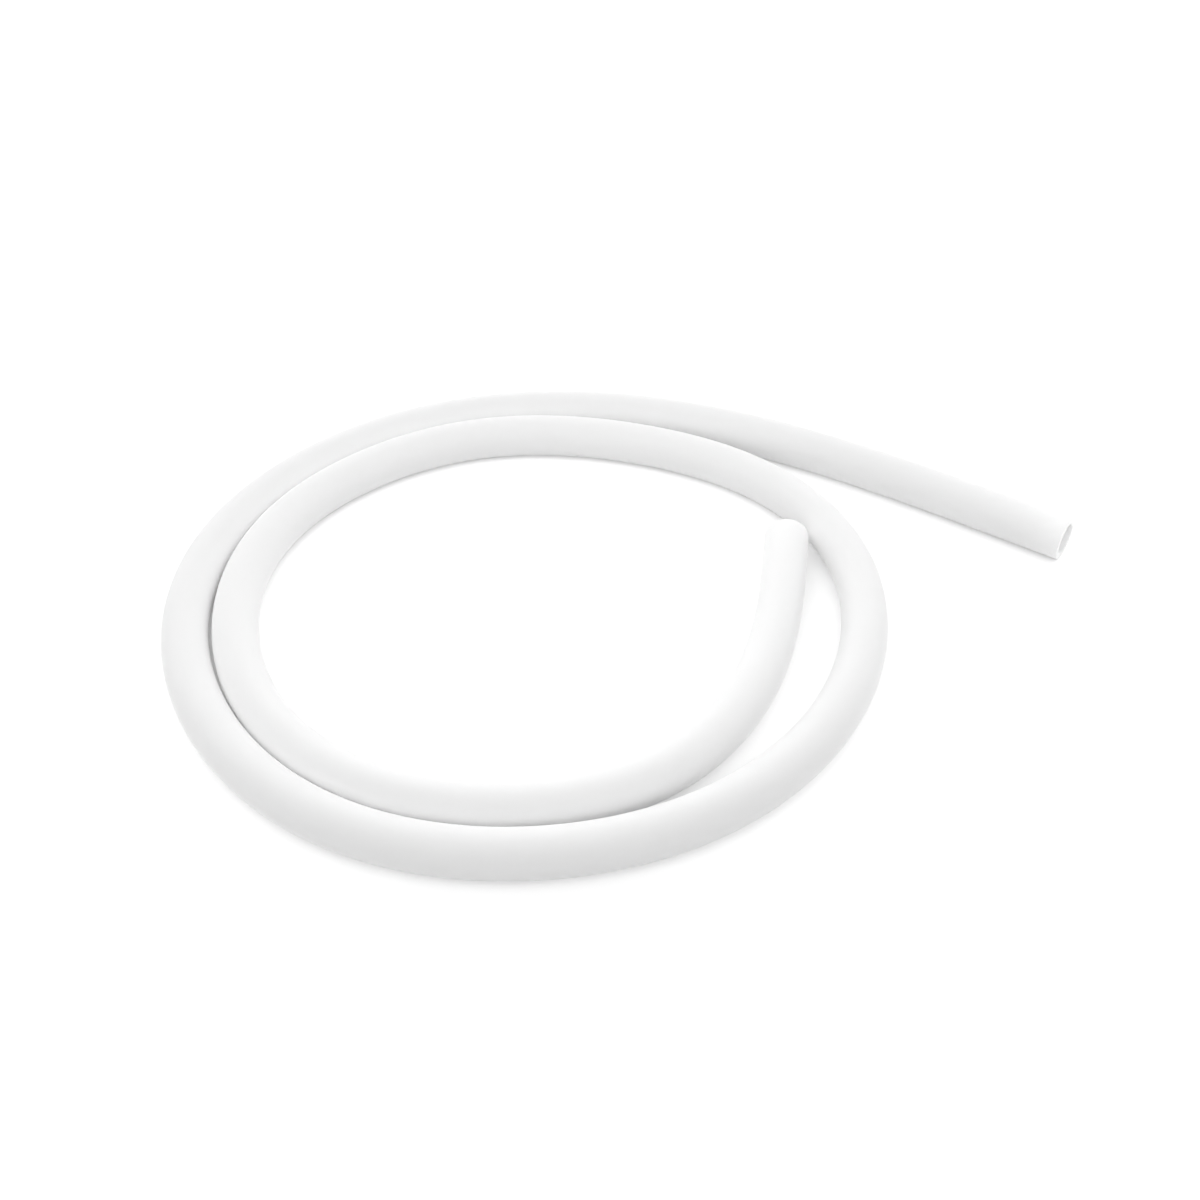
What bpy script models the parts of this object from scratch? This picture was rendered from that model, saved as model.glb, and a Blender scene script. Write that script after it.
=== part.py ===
"""
Silicone hose, cut square at both ends and lying in a loose flat coil.

The hose is one extruded tube with an open bore. It lies on a level surface in nearly two turns:
its outer end runs off straight, the second turn nests inside the first, and the inner end leaves
the coil and stops against the turn beside it.

Metres, +Z up. The hose rests on z = 0, its box is centred over the origin, and its straight outer
end points along +X.
"""

import math

import bmesh
import bpy

# The tube
OUTER_DIAMETER = 0.017
BORE_DIAMETER = 0.012
HOSE_LENGTH = 1.532         # along the middle of the tube, from cut to cut
EDGE_BREAK = 0.0003         # the blade leaves the rims of a cut very slightly blunt

# The coil, in polar form about its own centre: angles in degrees, anticlockwise from above
COIL_RADIUS = 0.1260        # to the middle of the tube on the outer turn
COIL_START = 111            # where the straight outer end has bent into the outer turn
LANE_START = 320            # the hose moves in by one tube's width between these two
LANE_END = 432
COIL_END = 626              # where the inner end begins to leave the inner turn

# How the loop strays from a circle: number of crests round it, their height as a share of
# COIL_RADIUS, angle of the first
LOBES = ((2, 0.0238, 8), (3, 0.0095, 31), (4, 0.0030, 29), (5, 0.0042, 24))

# The clear space between turns that lie against each other, and where it opens up a little: the
# angle of each widest place, how many degrees it takes to close again, and how much wider it is as
# a share of OUTER_DIAMETER
TURN_GAP = 0.0003
SLACK = ((435, 40, 0.063), (540, 40, 0.064), (660, 80, 0.166))

# The free ends
TAIL_EASE_LENGTH = 0.252    # over this length the outer turn's bend dies away into the straight end
TIGHTEST_BEND = 0.0773      # radius of the sharpest bend, where the inner end leaves the coil
BEND_IN = 0.055             # length over which that bend comes on
BEND_OUT = 0.132            # length over which it dies away again
END_REACH = 0.060           # the most that it runs on straight after that, if nothing stops it

# How finely the line and the solid are divided
LINE_STEP = 0.001
SIDES = 16
CHORD_SHARE = 0.4           # a flat facet strays from the true bend by this share of TURN_GAP

SILICONE_COLOUR = (0.93, 0.93, 0.93, 1.0)
SILICONE_ROUGHNESS = 0.55

OUTER_RADIUS = OUTER_DIAMETER / 2
BORE_RADIUS = BORE_DIAMETER / 2
RING_STEP = math.sqrt(8 * COIL_RADIUS * CHORD_SHARE * TURN_GAP)


def clear_scene():
    for item in list(bpy.data.objects):
        bpy.data.objects.remove(item, do_unlink=True)


def ease(share):
    """Rises from 0 to 1 with no sudden change of bend at either end."""
    share = min(max(share, 0.0), 1.0)
    return share ** 3 * (share * (6 * share - 15) + 10)


def loop_radius(angle):
    """Distance from the coil's centre to the middle of the tube, on the outer turn."""
    radius = COIL_RADIUS
    for crests, height, first in LOBES:
        radius += COIL_RADIUS * height * math.cos(crests * math.radians(angle - first))
    return radius


def clear_gap(angle):
    """Clear space between the inner turn and the outer one."""
    gap = TURN_GAP
    for widest, closes_in, extra in SLACK:
        share = min(abs(angle - widest) / closes_in, 1.0)
        gap += OUTER_DIAMETER * extra * (1 + math.cos(math.pi * share)) / 2
    return gap


def coil_point(angle):
    lane = ease((angle - LANE_START) / (LANE_END - LANE_START))
    radius = loop_radius(angle) - lane * (OUTER_DIAMETER + clear_gap(angle))
    return (radius * math.cos(math.radians(angle)), radius * math.sin(math.radians(angle)))


def coil_line():
    """The middle of the tube round the coil, from its outer start to its inner end."""
    arc = COIL_RADIUS * math.radians(COIL_END - COIL_START)
    steps = math.ceil(arc / LINE_STEP)
    return [coil_point(COIL_START + (COIL_END - COIL_START) * i / steps) for i in range(steps + 1)]


def coil_heading_and_bend(angle):
    """Direction of travel and bend (one over the radius) of the coil at an angle."""
    step = 0.1
    before, here, after = (coil_point(angle + shift) for shift in (-step, 0, step))
    heading_in = math.atan2(here[1] - before[1], here[0] - before[0])
    heading_out = math.atan2(after[1] - here[1], after[0] - here[0])
    turned = math.remainder(heading_out - heading_in, 2 * math.pi)
    return heading_in + turned / 2, turned / (math.dist(before, after) / 2)


def run_on(point, heading, length, bend_start, bend_end, direction=1):
    """Points from a point on, as the bend changes evenly; direction -1 walks back along the hose."""
    steps = max(math.ceil(length / LINE_STEP), 1)
    step = length / steps
    line = []
    for i in range(steps):
        bend = bend_start + (bend_end - bend_start) * (i + 0.5) / steps
        heading += direction * bend * step / 2
        point = (point[0] + direction * step * math.cos(heading),
                 point[1] + direction * step * math.sin(heading))
        heading += direction * bend * step / 2
        line.append(point)
    return line, heading


def distances(line):
    """Distance along a line to each of its points."""
    along = [0.0]
    for before, after in zip(line, line[1:]):
        along.append(along[-1] + math.dist(before, after))
    return along


def side_points(line, i):
    """The two outermost points of the tube, level with its middle, at one point of its line."""
    before, after = line[max(i - 1, 0)], line[min(i + 1, len(line) - 1)]
    length = math.dist(before, after)
    side = (-(after[1] - before[1]) / length, (after[0] - before[0]) / length)
    return [(line[i][0] + sign * OUTER_RADIUS * side[0],
             line[i][1] + sign * OUTER_RADIUS * side[1]) for sign in (-1, 1)]


def stop_short(line, neighbour):
    """Ends a line before a square cut across the tube there would meet the tube beside it."""
    limit = OUTER_RADIUS + TURN_GAP
    for i in range(1, len(line)):
        for corner in side_points(line[:i + 1], i):
            if min(math.dist(corner, point) for point in neighbour) < limit:
                return line[:i]
    return line


def tail_line():
    """The outer end, from the coil outwards: its bend dies away, then it runs straight, uncut."""
    heading, bend = coil_heading_and_bend(COIL_START)
    bent, heading = run_on(coil_point(COIL_START), heading, TAIL_EASE_LENGTH, bend, 0.0, direction=-1)
    straight, heading = run_on(bent[-1], heading, HOSE_LENGTH, 0.0, 0.0, direction=-1)
    return bent + straight


def inner_end_line(neighbour):
    """The inner end, from the coil inwards: it bends off sharply, straightens and stops short."""
    heading, bend = coil_heading_and_bend(COIL_END)
    bending, heading = run_on(coil_point(COIL_END), heading, BEND_IN, bend, 1 / TIGHTEST_BEND)
    easing, heading = run_on(bending[-1], heading, BEND_OUT, 1 / TIGHTEST_BEND, 0.0)
    straight, heading = run_on(easing[-1], heading, END_REACH, 0.0, 0.0)
    return bending + stop_short(easing + straight, neighbour)


def hose_line():
    """The middle of the whole hose in plan, from its outer end to its inner end, cut to length."""
    coil = coil_line()
    outer_turn = coil[:round(len(coil) * 360 / (COIL_END - COIL_START))]
    line = tail_line()[::-1] + coil + inner_end_line(outer_turn)
    along = distances(line)
    spare = along[-1] - HOSE_LENGTH
    cut, direction = at(line, along, spare)
    return [cut] + [point for point, distance in zip(line, along) if distance > spare]


def at(line, along, distance):
    """The point at a distance along a line, and the line's direction there."""
    i = 1
    while i < len(line) - 1 and along[i] < distance:
        i += 1
    before, after = line[i - 1], line[i]
    length = along[i] - along[i - 1]
    share = (distance - along[i - 1]) / length
    point = (before[0] + (after[0] - before[0]) * share, before[1] + (after[1] - before[1]) * share)
    return point, ((after[0] - before[0]) / length, (after[1] - before[1]) / length)


def section_ring(point, direction, radius):
    """Vertices round the tube at one place, the first of them at the very bottom."""
    ring = []
    for i in range(SIDES):
        angle = 2 * math.pi * i / SIDES
        sideways = radius * math.sin(angle)
        ring.append((point[0] - direction[1] * sideways,
                     point[1] + direction[0] * sideways,
                     OUTER_RADIUS - radius * math.cos(angle)))
    return ring


def wall_tour(length):
    """
    A walk along the wall as pairs of distance and radius: down the outside, over the cut at the
    inner end, back up the bore and over the cut at the outer end, where it closes on its start.
    """
    rings = round((length - 2 * EDGE_BREAK) / RING_STEP)
    stations = [EDGE_BREAK + (length - 2 * EDGE_BREAK) * i / rings for i in range(rings + 1)]
    cut_radii = (OUTER_RADIUS - EDGE_BREAK, BORE_RADIUS + EDGE_BREAK)
    outside = [(station, OUTER_RADIUS) for station in stations]
    bore = [(station, BORE_RADIUS) for station in reversed(stations)]
    inner_cut = [(length, radius) for radius in cut_radii]
    outer_cut = [(0.0, radius) for radius in reversed(cut_radii)]
    return outside + inner_cut + bore + outer_cut


def turned(line):
    """The line turned about the coil's centre until its straight outer end points along +X."""
    away = (line[0][0] - line[1][0], line[0][1] - line[1][1])
    reach = math.hypot(*away)
    cosine, sine = away[0] / reach, away[1] / reach
    return [(x * cosine + y * sine, y * cosine - x * sine) for x, y in line]


def centred(vertices):
    """The vertices moved level until their box is centred over the origin."""
    middle_x = (min(v[0] for v in vertices) + max(v[0] for v in vertices)) / 2
    middle_y = (min(v[1] for v in vertices) + max(v[1] for v in vertices)) / 2
    return [(x - middle_x, y - middle_y, z) for x, y, z in vertices]


def silicone():
    material = bpy.data.materials.new("silicone")
    material.use_nodes = True
    shader = material.node_tree.nodes["Principled BSDF"]
    shader.inputs["Base Color"].default_value = SILICONE_COLOUR
    shader.inputs["Roughness"].default_value = SILICONE_ROUGHNESS
    shader.inputs["Metallic"].default_value = 0.0
    return material


def make_hose():
    """Sweeps the section along the line, outside and bore together, as one closed wall."""
    line = turned(hose_line())
    along = distances(line)
    tour = wall_tour(along[-1])
    vertices = []
    for distance, radius in tour:
        point, direction = at(line, along, distance)
        vertices += section_ring(point, direction, radius)

    mesh = bpy.data.meshes.new("hose")
    shape = bmesh.new()
    placed = [shape.verts.new(vertex) for vertex in centred(vertices)]
    for i in range(len(tour)):
        here, after = i * SIDES, (i + 1) % len(tour) * SIDES
        for j in range(SIDES):
            k = (j + 1) % SIDES
            shape.faces.new((placed[here + j], placed[here + k], placed[after + k], placed[after + j]))
    shape.to_mesh(mesh)
    shape.free()
    mesh.shade_smooth()
    mesh.set_sharp_from_angle(angle=math.radians(35))
    mesh.materials.append(silicone())

    hose = bpy.data.objects.new("hose", mesh)
    bpy.context.scene.collection.objects.link(hose)
    return hose


clear_scene()
make_hose()
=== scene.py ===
# %% [markdown]
# # A silicone hose in a loose coil
#
# One length of soft white hose lies on a white table. It makes nearly two turns: the outer end runs
# off straight, the second turn nests inside the first, and the inner end leaves the coil and stops
# against the turn beside it. There is only one piece, so the lesson is about three things: a line
# that a real hose could lie in, a tube with an open bore swept along it, and a matt white rubber
# under a light that still shows how round it is.
#
# The frame brings in the CAD part first.

import math

import bpy
from mathutils import Matrix, Vector


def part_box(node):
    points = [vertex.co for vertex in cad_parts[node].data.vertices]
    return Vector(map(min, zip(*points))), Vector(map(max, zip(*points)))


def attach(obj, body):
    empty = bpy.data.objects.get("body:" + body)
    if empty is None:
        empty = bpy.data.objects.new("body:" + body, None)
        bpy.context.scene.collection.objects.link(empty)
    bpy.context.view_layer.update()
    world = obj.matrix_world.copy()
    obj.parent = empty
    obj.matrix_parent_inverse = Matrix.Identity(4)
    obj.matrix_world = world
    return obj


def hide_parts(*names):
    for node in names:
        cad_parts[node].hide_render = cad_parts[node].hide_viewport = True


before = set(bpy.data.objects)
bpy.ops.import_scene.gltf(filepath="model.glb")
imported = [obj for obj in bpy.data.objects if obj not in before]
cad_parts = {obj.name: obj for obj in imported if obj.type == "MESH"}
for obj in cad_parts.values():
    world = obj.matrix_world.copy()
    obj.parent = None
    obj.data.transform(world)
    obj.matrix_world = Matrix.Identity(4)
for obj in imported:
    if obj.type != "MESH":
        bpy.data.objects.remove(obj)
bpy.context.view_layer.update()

# %% [markdown]
# ## The camera
#
# The photograph looks down on the coil at about forty degrees. A fitted camera is best kept as the
# few values a photographer would know: where it points, how far off it stands, the bearing and the
# height it looks from, its lens, and the slight tilt of the camera in the hand. The matrix is then
# worked out from those values, with its columns as right, up and back.

# %% Camera
AIM = Vector((0.0086, 0.0114, 0.0))         # on the table, near the middle of the coil
DISTANCE = 0.5673
BEARING = math.radians(-54.12)
ELEVATION = math.radians(41.5)
ROLL = math.radians(-1.34)
SENSOR = 36.0
LENS = 44.25


def camera_matrix():
    towards = Vector((math.cos(ELEVATION) * math.cos(BEARING),
                      math.cos(ELEVATION) * math.sin(BEARING),
                      math.sin(ELEVATION)))
    level = Vector((0, 0, 1)).cross(towards).normalized()
    upright = towards.cross(level)
    right = level * math.cos(ROLL) + upright * math.sin(ROLL)
    up = upright * math.cos(ROLL) - level * math.sin(ROLL)
    turn = Matrix((right, up, towards)).transposed().to_4x4()
    return Matrix.Translation(AIM + towards * DISTANCE) @ turn


lens = bpy.data.cameras.new("camera")
lens.sensor_width = SENSOR
lens.lens = LENS
camera = bpy.data.objects.new("camera", lens)
camera.matrix_world = camera_matrix()
bpy.context.scene.collection.objects.link(camera)
bpy.context.scene.camera = camera
print("camera stands at", [round(x, 3) for x in camera.matrix_world.translation])

# %% [markdown]
# ## The line that the hose lies in
#
# A hose is stiff enough that its bend never changes suddenly, and two turns lying together keep
# exactly one diameter apart. Points placed by hand would wobble, so the line follows a rule. Round
# the coil it is a circle with a few low waves in polar form, and the second turn moves in by one
# lane. At both ends the bend itself is what changes evenly: it dies away into the straight outer
# end, and at the inner end it tightens once and then relaxes.

# %% Sizes of the hose, in metres
OUTER_DIAMETER = 0.017
BORE_DIAMETER = 0.012
HOSE_LENGTH = 1.532
OUTER_RADIUS = OUTER_DIAMETER / 2
WALL = (OUTER_DIAMETER - BORE_DIAMETER) / 2
print("wall in millimetres:", round(WALL * 1000, 2))

# %% The rule for the coil
COIL_RADIUS = 0.1260        # to the middle of the hose on the outer turn
COIL_START = 111            # degrees: the straight outer end has bent into the outer turn here
LANE_START = 320            # between these two the hose moves in by one lane
LANE_END = 432
COIL_END = 626              # the inner end begins to leave the inner turn here
LINE_STEP = 0.001

# How the loop strays from a circle: number of crests round it, their height as a share of
# COIL_RADIUS, angle of the first
LOBES = ((2, 0.0238, 8), (3, 0.0095, 31), (4, 0.0030, 29), (5, 0.0042, 24))

# The clear space between the turns, and where it opens up a little: the angle of each widest
# place, how many degrees it takes to close again, how much wider as a share of OUTER_DIAMETER
TURN_GAP = 0.0003
SLACK = ((435, 40, 0.063), (540, 40, 0.064), (660, 80, 0.166))


def ease(share):
    """Rises from 0 to 1 with no sudden change of bend at either end."""
    share = min(max(share, 0.0), 1.0)
    return share ** 3 * (share * (6 * share - 15) + 10)


def coil_point(angle):
    """The middle of the hose at an angle round the coil, in degrees."""
    radius = COIL_RADIUS
    for crests, height, first in LOBES:
        radius += COIL_RADIUS * height * math.cos(crests * math.radians(angle - first))
    gap = TURN_GAP
    for widest, closes_in, extra in SLACK:
        share = min(abs(angle - widest) / closes_in, 1.0)
        gap += OUTER_DIAMETER * extra * (1 + math.cos(math.pi * share)) / 2
    radius -= ease((angle - LANE_START) / (LANE_END - LANE_START)) * (OUTER_DIAMETER + gap)
    return (radius * math.cos(math.radians(angle)), radius * math.sin(math.radians(angle)))


def coil_line():
    """The middle of the hose round the coil, from its outer start to its inner end."""
    arc = COIL_RADIUS * math.radians(COIL_END - COIL_START)
    steps = math.ceil(arc / LINE_STEP)
    return [coil_point(COIL_START + (COIL_END - COIL_START) * i / steps) for i in range(steps + 1)]


coil = coil_line()
print("points round the coil:", len(coil))

# %% [markdown]
# The two ends carry on from the coil. At each joint the direction and the bend are read from the
# coil's own rule, so nothing shows there. The inner end is then cut where the corner of its square
# cut would come within the gap of the turn beside it, and the outer end is cut to give the hose
# its length.

# %% Direction and bend of the coil, and how the hose runs on from there
PROBE = 0.1                 # degrees to either side of the place where the bend is measured


def coil_heading_and_bend(angle):
    """Direction of travel and bend (one over the radius) of the coil at an angle."""
    before, here, after = (coil_point(angle + shift) for shift in (-PROBE, 0, PROBE))
    heading_in = math.atan2(here[1] - before[1], here[0] - before[0])
    heading_out = math.atan2(after[1] - here[1], after[0] - here[0])
    turned = math.remainder(heading_out - heading_in, 2 * math.pi)
    return heading_in + turned / 2, turned / (math.dist(before, after) / 2)


def run_on(point, heading, length, bend_start, bend_end, direction=1):
    """Points from a point on, as the bend changes evenly. Direction -1 walks towards the start."""
    steps = max(math.ceil(length / LINE_STEP), 1)
    step = length / steps
    line = []
    for i in range(steps):
        bend = bend_start + (bend_end - bend_start) * (i + 0.5) / steps
        heading += direction * bend * step / 2
        point = (point[0] + direction * step * math.cos(heading),
                 point[1] + direction * step * math.sin(heading))
        heading += direction * bend * step / 2
        line.append(point)
    return line, heading


print("radius of the bend at the coil's inner end, in millimetres:",
      round(1000 / coil_heading_and_bend(COIL_END)[1]))

# %% Where the inner end has to stop


def side_points(line, i):
    """The two outermost points of the hose, level with its middle, at one point of its line."""
    before, after = line[max(i - 1, 0)], line[min(i + 1, len(line) - 1)]
    length = math.dist(before, after)
    side = (-(after[1] - before[1]) / length, (after[0] - before[0]) / length)
    return [(line[i][0] + sign * OUTER_RADIUS * side[0],
             line[i][1] + sign * OUTER_RADIUS * side[1]) for sign in (-1, 1)]


def stop_short(line, neighbour):
    """Ends a line before a square cut across the tube there would meet the tube beside it."""
    limit = OUTER_RADIUS + TURN_GAP
    for i in range(1, len(line)):
        for corner in side_points(line[:i + 1], i):
            if min(math.dist(corner, point) for point in neighbour) < limit:
                return line[:i]
    return line


outer_turn = coil[:round(len(coil) * 360 / (COIL_END - COIL_START))]
print("points of the turn that the inner end may not touch:", len(outer_turn))

# %% The two ends
TAIL_EASE_LENGTH = 0.252    # over this length the coil's bend dies away into the straight end
TIGHTEST_BEND = 0.0773      # radius of the sharpest bend, where the inner end leaves the coil
BEND_IN = 0.055             # length over which that bend comes on
BEND_OUT = 0.132            # length over which it dies away again
END_REACH = 0.060           # the most that it runs on straight after that, if nothing stops it


def tail_line():
    """The outer end, from the coil outwards: its bend dies away, then it runs straight, uncut."""
    heading, bend = coil_heading_and_bend(COIL_START)
    start = coil_point(COIL_START)
    bent, heading = run_on(start, heading, TAIL_EASE_LENGTH, bend, 0.0, direction=-1)
    straight, heading = run_on(bent[-1], heading, HOSE_LENGTH, 0.0, 0.0, direction=-1)
    return bent + straight


def inner_end_line(neighbour):
    """The inner end, from the coil inwards: it bends off sharply, straightens and stops short."""
    heading, bend = coil_heading_and_bend(COIL_END)
    bending, heading = run_on(coil_point(COIL_END), heading, BEND_IN, bend, 1 / TIGHTEST_BEND)
    easing, heading = run_on(bending[-1], heading, BEND_OUT, 1 / TIGHTEST_BEND, 0.0)
    straight, heading = run_on(easing[-1], heading, END_REACH, 0.0, 0.0)
    return bending + stop_short(easing + straight, neighbour)


tail = tail_line()
inner_end = inner_end_line(outer_turn)
print("points of the outer end, uncut:", len(tail))
print("points of the inner end:", len(inner_end))

# %% [markdown]
# The whole line is measured, cut to length, and divided again into equal steps of 3 mm. No chord
# then strays more than two hundredths of a millimetre from the true bend, and the mesh stays light.
# The line is then turned and moved to lie exactly where the CAD hose lies. Its straight end touches
# two sides of the CAD box, so those two sides are all that is needed to place it.

# %% Cut, divide and place the line
RING_STEP = 0.003


def distances(line):
    """Distance along a line to each of its points."""
    along = [0.0]
    for before, after in zip(line, line[1:]):
        along.append(along[-1] + math.dist(before, after))
    return along


def divided(line, start, step):
    """Points at equal distances along a line, from a distance on to its end."""
    along = distances(line)
    count = round((along[-1] - start) / step)
    points = []
    i = 1
    for k in range(count + 1):
        wanted = start + (along[-1] - start) * k / count
        while i < len(line) - 1 and along[i] < wanted:
            i += 1
        share = (wanted - along[i - 1]) / (along[i] - along[i - 1])
        points.append(tuple(a + (b - a) * share for a, b in zip(line[i - 1], line[i])))
    return points


def placed(line, box_high):
    """Turned so that the outer end points along +X, and moved against the CAD box's far sides."""
    away = (line[0][0] - line[1][0], line[0][1] - line[1][1])
    reach = math.hypot(*away)
    cosine, sine = away[0] / reach, away[1] / reach
    turned = [(x * cosine + y * sine, y * cosine - x * sine) for x, y in line]
    move_x = box_high[0] - turned[0][0]
    move_y = box_high[1] - OUTER_RADIUS - turned[0][1]
    return [(x + move_x, y + move_y, OUTER_RADIUS) for x, y in turned]


whole = tail[::-1] + coil + inner_end
spare = distances(whole)[-1] - HOSE_LENGTH
hose_line = placed(divided(whole, spare, RING_STEP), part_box("hose")[1])
print("hose line:", len(hose_line), "points,", round(distances(hose_line)[-1], 4), "m long")

# %% [markdown]
# ## The tube
#
# Sweeping a circle along a line is work for Geometry Nodes. The tree takes the line as edges, turns
# it into a curve and sweeps a circle along it, and the circle's size and number of sides are named
# inputs. That gives a skin with open ends, ready for a wall to grow from. First comes one small
# helper that all the node trees below share.

# %% A helper that adds one node


def add(tree, kind, links=(), **settings):
    """Adds a node, sets its properties and input values, and links its inputs."""
    node = tree.nodes.new(kind)
    for name, value in settings.items():
        if hasattr(node, name):
            setattr(node, name, value)
        else:
            node.inputs[name.replace("_", " ")].default_value = value
    for name, source in dict(links).items():
        tree.links.new(source, node.inputs[name])
    return node


# %% The tree that sweeps the skin


def skin_tree():
    tree = bpy.data.node_groups.new("sweep_the_skin", "GeometryNodeTree")
    face = tree.interface
    face.new_socket("Line", in_out="INPUT", socket_type="NodeSocketGeometry")
    face.new_socket("Outer Diameter", in_out="INPUT", socket_type="NodeSocketFloat")
    face.new_socket("Sides", in_out="INPUT", socket_type="NodeSocketInt")
    face.new_socket("Material", in_out="INPUT", socket_type="NodeSocketMaterial")
    face.new_socket("Skin", in_out="OUTPUT", socket_type="NodeSocketGeometry")
    given = tree.nodes.new("NodeGroupInput").outputs
    radius = add(tree, "ShaderNodeMath", {0: given["Outer Diameter"]}, operation="DIVIDE")
    radius.inputs[1].default_value = 2.0
    circle = add(tree, "GeometryNodeCurvePrimitiveCircle",
                 {"Resolution": given["Sides"], "Radius": radius.outputs[0]})
    path = add(tree, "GeometryNodeMeshToCurve", {"Mesh": given["Line"]})
    swept = add(tree, "GeometryNodeCurveToMesh",
                {"Curve": path.outputs[0], "Profile Curve": circle.outputs[0]})
    smooth = add(tree, "GeometryNodeSetShadeSmooth", {0: swept.outputs[0]})
    real = add(tree, "GeometryNodeRealizeInstances", {0: smooth.outputs[0]})
    done = add(tree, "GeometryNodeSetMaterial",
               {"Geometry": real.outputs[0], "Material": given["Material"]})
    add(tree, "NodeGroupOutput", {"Skin": done.outputs[0]})
    return tree


sweep_tree = skin_tree()
print("inputs of the tree:", [socket.name for socket in sweep_tree.interface.items_tree
                              if socket.in_out == "INPUT"])

# %% [markdown]
# ## Colour
#
# Colours are written as on a paint card, as sRGB hex values. Blender's shaders reckon in linear
# light, so one function turns the one into the other.

# %% Colour


def from_hex(code):
    """An sRGB hex colour as linear red, green, blue and alpha."""
    parts = [int(code[i:i + 2], 16) / 255 for i in (1, 3, 5)]
    linear = [c / 12.92 if c <= 0.04045 else ((c + 0.055) / 1.055) ** 2.4 for c in parts]
    return (*linear, 1.0)


print("half grey in linear light:", [round(c, 3) for c in from_hex("#808080")])

# %% [markdown]
# ## Platinum-cured silicone rubber with a soft-touch skin
#
# Silicone is a soft rubber, white all through. Light travels a few millimetres in it, further
# than the wall is thick, so its shading is gentler than paint and the creases don't go black. The
# soft-touch skin is a fine matt grain: it kills the mirror highlight that bare silicone has and
# gives every edge a broad pale sheen. The colour is neutral. It drifts by about one part in a
# hundred over a few centimetres, as it does in any extruded tube.

# %% Silicone material
SILICONE_WHITE = "#FBFBFB"
SILICONE_SHADE = "#F8F8F8"
DRIFT_MM = 40
GRAIN_MM = 0.5              # real grain is nearer 0.1 mm, and this is the finest that shows
GRAIN_HEIGHT_MM = 0.01
ROUGHNESS_FROM = 0.52
ROUGHNESS_TO = 0.60
SILICONE_IOR = 1.41
LIGHT_TRAVELS_MM = 4        # inside the rubber, the same for red, green and blue
SHEEN = 1.0
SHEEN_ROUGHNESS = 0.5


def silicone():
    material = bpy.data.materials.new("soft_touch_silicone")
    material.use_nodes = True
    tree = material.node_tree
    shader = tree.nodes["Principled BSDF"]
    place = add(tree, "ShaderNodeTexCoord").outputs["Object"]
    drift = add(tree, "ShaderNodeTexNoise", {"Vector": place}, Scale=1000 / DRIFT_MM, Detail=2.0)
    tone = add(tree, "ShaderNodeMix", {"Factor": drift.outputs["Fac"]}, data_type="RGBA")
    tone.inputs["A"].default_value = from_hex(SILICONE_WHITE)
    tone.inputs["B"].default_value = from_hex(SILICONE_SHADE)
    grain = add(tree, "ShaderNodeTexNoise", {"Vector": place}, Scale=1000 / GRAIN_MM, Detail=1.0)
    bump = add(tree, "ShaderNodeBump", {"Height": grain.outputs["Fac"]},
               Distance=GRAIN_HEIGHT_MM / 1000)
    rough = add(tree, "ShaderNodeMapRange", {"Value": drift.outputs["Fac"]})
    rough.inputs["To Min"].default_value = ROUGHNESS_FROM
    rough.inputs["To Max"].default_value = ROUGHNESS_TO
    tree.links.new(tone.outputs["Result"], shader.inputs["Base Color"])
    tree.links.new(bump.outputs["Normal"], shader.inputs["Normal"])
    tree.links.new(rough.outputs["Result"], shader.inputs["Roughness"])
    shader.inputs["IOR"].default_value = SILICONE_IOR
    shader.inputs["Subsurface Weight"].default_value = 1.0
    shader.inputs["Subsurface Radius"].default_value = (1.0, 1.0, 1.0)
    shader.inputs["Subsurface Scale"].default_value = LIGHT_TRAVELS_MM / 1000
    shader.inputs["Sheen Weight"].default_value = SHEEN
    shader.inputs["Sheen Roughness"].default_value = SHEEN_ROUGHNESS
    return material


soft_touch_silicone = silicone()
print("material:", soft_touch_silicone.name)

# %% [markdown]
# ## The hose itself
#
# The line becomes an object of its own, made of edges only, and the tree gives it its skin. A
# Solidify modifier then grows the wall inwards from that skin, which opens the bore from end to
# end, and a Bevel modifier rounds only the sharp rims, as a blade leaves them when it cuts
# silicone. The result is kept as a plain mesh, and the line with its modifiers is thrown away.

# %% Make the hose
SIDES = 48
RIM_ROUNDING = 0.0003
RIM_SEGMENTS = 3
RIM_ANGLE = math.radians(50)        # only the rims of the two cuts are sharper than this


def line_object(points):
    """An object of edges only, through the points."""
    mesh = bpy.data.meshes.new("hose_line")
    mesh.from_pydata(points, [(i, i + 1) for i in range(len(points) - 1)], [])
    line = bpy.data.objects.new("hose_line", mesh)
    bpy.context.scene.collection.objects.link(line)
    return line


def add_skin(line, tree, material):
    sweep = line.modifiers.new("sweep", "NODES")
    sweep.node_group = tree
    values = {"Outer Diameter": OUTER_DIAMETER, "Sides": SIDES, "Material": material}
    for socket in tree.interface.items_tree:
        if socket.in_out == "INPUT" and socket.name in values:
            sweep[socket.identifier] = values[socket.name]


def add_wall(line):
    wall = line.modifiers.new("wall", "SOLIDIFY")
    wall.thickness = WALL
    wall.offset = -1.0
    wall.use_even_offset = False
    rims = line.modifiers.new("rims", "BEVEL")
    rims.width = RIM_ROUNDING
    rims.segments = RIM_SEGMENTS
    rims.limit_method = "ANGLE"
    rims.angle_limit = RIM_ANGLE


def finished(line, name):
    """The evaluated object as a plain mesh, with its modifiers left behind."""
    seen = line.evaluated_get(bpy.context.evaluated_depsgraph_get())
    mesh = bpy.data.meshes.new_from_object(seen)
    mesh.name = name
    piece = bpy.data.objects.new(name, mesh)
    bpy.context.scene.collection.objects.link(piece)
    bpy.data.objects.remove(line, do_unlink=True)
    return piece


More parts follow.
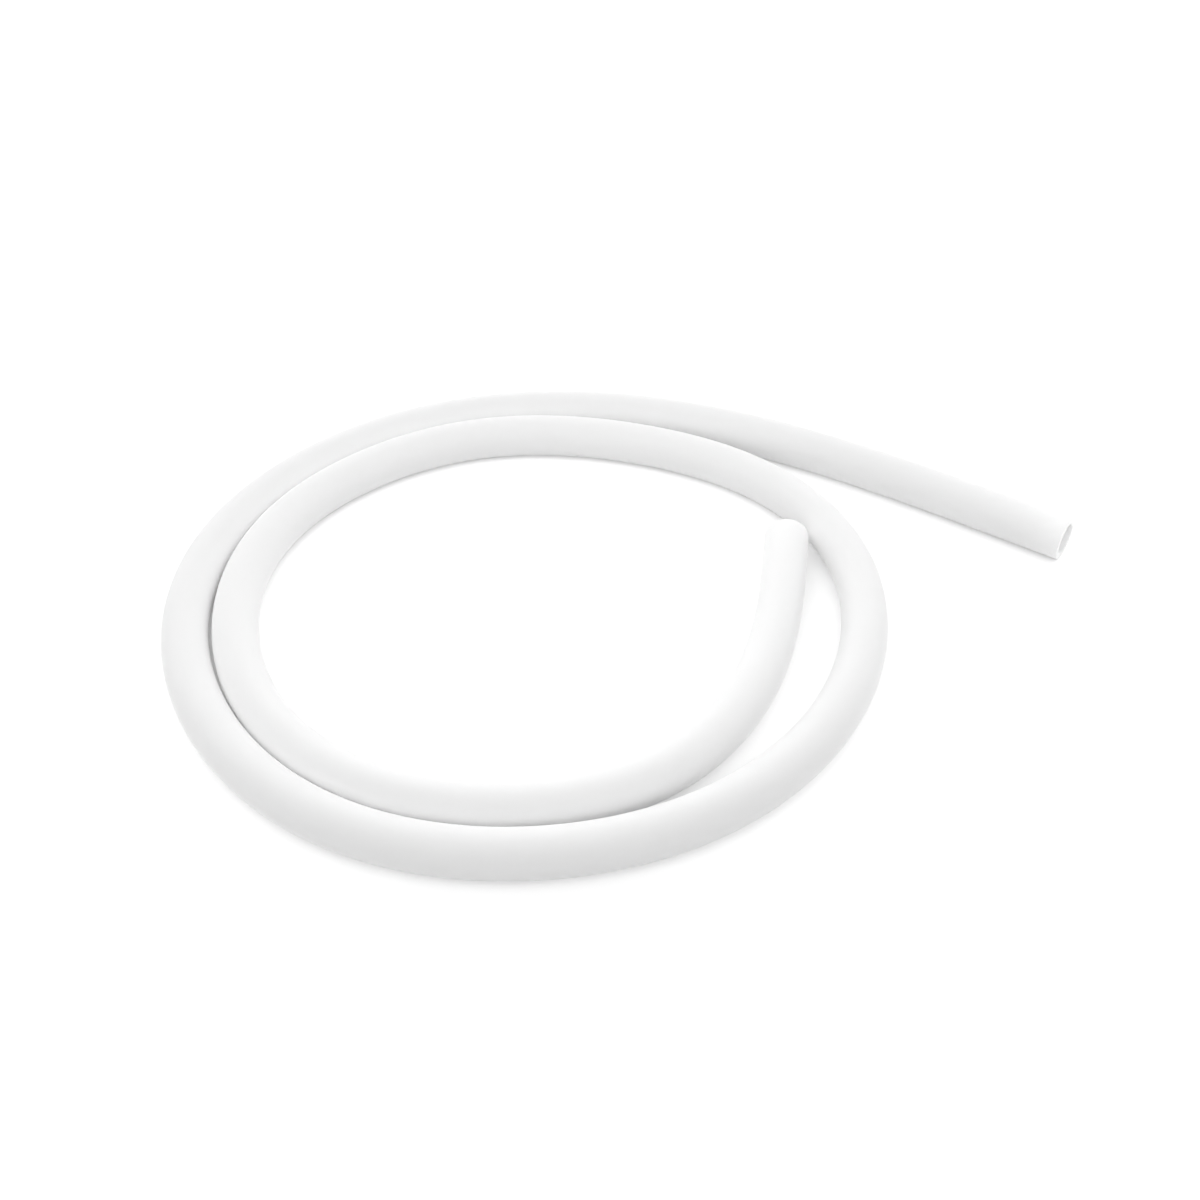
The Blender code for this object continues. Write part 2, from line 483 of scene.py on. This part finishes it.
line = line_object(hose_line)
add_skin(line, sweep_tree, soft_touch_silicone)
add_wall(line)
hose = finished(line, "silicone_hose")
print("hose:", len(hose.data.vertices), "vertices,", len(hose.data.polygons), "faces")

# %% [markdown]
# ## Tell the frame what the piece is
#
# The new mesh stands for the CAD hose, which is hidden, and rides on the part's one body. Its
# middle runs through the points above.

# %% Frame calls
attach(hose, "root")
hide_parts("hose")
print("declared:", hose.name, "as a cord of", HOSE_LENGTH, "m")

# %% [markdown]
# ## The table
#
# The photograph's ground is pure white with only a thin soft shadow along the hose. A floor that is
# simply lit until it clips would throw too much light on the hose, so the whiteness comes from the
# floor's own look instead. Where the camera sees it, straight or in a reflection, the floor adds a
# little light of its own. That lifts the open floor to white and leaves the darkest part of the
# shadow, and the light that the floor throws back on the hose stays as it was.

# %% How a thing is seen


def seen_directly(tree):
    """One where a ray comes from the camera, a mirror or glass, and nought for all other light."""
    path = add(tree, "ShaderNodeLightPath").outputs
    first = add(tree, "ShaderNodeMath", {0: path["Is Camera Ray"], 1: path["Is Glossy Ray"]},
                operation="MAXIMUM")
    both = add(tree, "ShaderNodeMath", {0: first.outputs[0], 1: path["Is Transmission Ray"]},
               operation="MAXIMUM")
    return both.outputs[0]


# %% Floor
FLOOR_SIZE = 6.0
FLOOR_COLOUR = "#F0F0F0"
FLOOR_LIFT = 0.27


def white_card():
    """Matt white card, which gives the shadow a clean neutral ground."""
    material = bpy.data.materials.new("white_card")
    material.use_nodes = True
    tree = material.node_tree
    tree.nodes.clear()
    card = add(tree, "ShaderNodeBsdfDiffuse", Color=from_hex(FLOOR_COLOUR))
    lift = add(tree, "ShaderNodeMath", {0: seen_directly(tree)}, operation="MULTIPLY")
    lift.inputs[1].default_value = FLOOR_LIFT
    glow = add(tree, "ShaderNodeEmission", {"Strength": lift.outputs[0]})
    both = add(tree, "ShaderNodeAddShader", {0: card.outputs[0], 1: glow.outputs[0]})
    add(tree, "ShaderNodeOutputMaterial", {"Surface": both.outputs[0]})
    return material


def make_floor():
    half = FLOOR_SIZE / 2
    mesh = bpy.data.meshes.new("floor")
    mesh.from_pydata([(-half, -half, 0), (half, -half, 0), (half, half, 0), (-half, half, 0)],
                     [], [(0, 1, 2, 3)])
    mesh.materials.append(white_card())
    floor = bpy.data.objects.new("floor", mesh)
    bpy.context.scene.collection.objects.link(floor)
    return floor


floor = make_floor()
print("floor:", FLOOR_SIZE, "m square")

# %% [markdown]
# ## Light
#
# The crest and both flanks of the hose are nearly white, and only what faces the camera falls to
# grey. So two wide lights stand low beyond the hose, one at the left and one at the right, and a
# third stands high over the camera, which keeps the near side from going dark. They are painted on
# the world: each is brightest straight along its own direction and falls to half about thirty
# degrees from it. To the camera, and in reflections, the world is plain white.

# %% The wide lights, painted on the world
AWAY = Vector((-math.cos(BEARING), -math.sin(BEARING), 0))
RIGHT = Vector((-math.sin(BEARING), math.cos(BEARING), 0))
LIGHT_FOCUS = 4             # the higher, the narrower each light
# name, degrees to the right of straight away from the camera, degrees above level, strength
WIDE_LIGHTS = (
    ("beyond_left", -45, 15, 1.83),
    ("beyond_right", 45, 15, 1.60),
    ("over_the_camera", 180, 60, 2.03),
)


def direction_of(to_the_right, height):
    """Which way a light stands, seen from the hose."""
    turn, rise = math.radians(to_the_right), math.radians(height)
    level = AWAY * math.cos(turn) + RIGHT * math.sin(turn)
    return level * math.cos(rise) + Vector((0, 0, math.sin(rise)))


def make_world():
    world = bpy.data.worlds.new("studio")
    world.use_nodes = True
    tree = world.node_tree
    tree.nodes.clear()
    looking = add(tree, "ShaderNodeTexCoord").outputs["Generated"]
    total = None
    for name, to_the_right, height, strength in WIDE_LIGHTS:
        facing = add(tree, "ShaderNodeVectorMath", {0: looking}, operation="DOT_PRODUCT")
        facing.inputs[1].default_value = direction_of(to_the_right, height)
        ahead = add(tree, "ShaderNodeMath", {0: facing.outputs["Value"]}, operation="MAXIMUM")
        ahead.inputs[1].default_value = 0.0
        focused = add(tree, "ShaderNodeMath", {0: ahead.outputs[0]}, operation="POWER")
        focused.inputs[1].default_value = LIGHT_FOCUS
        added = add(tree, "ShaderNodeMath", {0: focused.outputs[0]}, operation="MULTIPLY_ADD",
                    label=name)
        added.inputs[1].default_value = strength
        added.inputs[2].default_value = 0.0
        if total:
            tree.links.new(total, added.inputs[2])
        total = added.outputs[0]
    level = add(tree, "ShaderNodeMix", {"Factor": seen_directly(tree), "A": total})
    level.inputs["B"].default_value = 1.0
    sky = add(tree, "ShaderNodeBackground", {"Strength": level.outputs["Result"]})
    sky.inputs["Color"].default_value = (1, 1, 1, 1)
    add(tree, "ShaderNodeOutputWorld", {"Surface": sky.outputs[0]})
    bpy.context.scene.world = world


make_world()
print("wide lights:", [light[0] for light in WIDE_LIGHTS])

# %% [markdown]
# Two small softboxes hang low. One, over the middle of the coil, brightens the sides that face into
# the coil. The other, over the straight end, lets some light into the open bore. Neither is seen by
# the camera.

# %% The low softboxes
COIL_CENTRE = Vector((-0.0092, -0.0085, 0.0))
BOX_WIDTH = 0.11
BOX_HEIGHT = 0.15
# name, metres to the right of the coil's centre, watts
SOFTBOXES = (
    ("softbox_over_the_coil", 0.0, 0.041),
    ("softbox_at_the_right", 0.30, 0.046),
)


def hang_softbox(name, to_the_right, watts):
    light = bpy.data.lights.new(name, "AREA")
    light.shape = "DISK"
    light.size = BOX_WIDTH
    light.energy = watts
    lamp = bpy.data.objects.new(name, light)
    lamp.location = COIL_CENTRE + RIGHT * to_the_right + Vector((0, 0, BOX_HEIGHT))
    lamp.visible_camera = False
    bpy.context.scene.collection.objects.link(lamp)


for name, to_the_right, watts in SOFTBOXES:
    hang_softbox(name, to_the_right, watts)
print("softboxes:", [box[0] for box in SOFTBOXES])

# %% [markdown]
# ## The view
#
# With the Standard view a colour leaves the camera as it was mixed.

# %% The view
bpy.context.scene.view_settings.view_transform = "Standard"
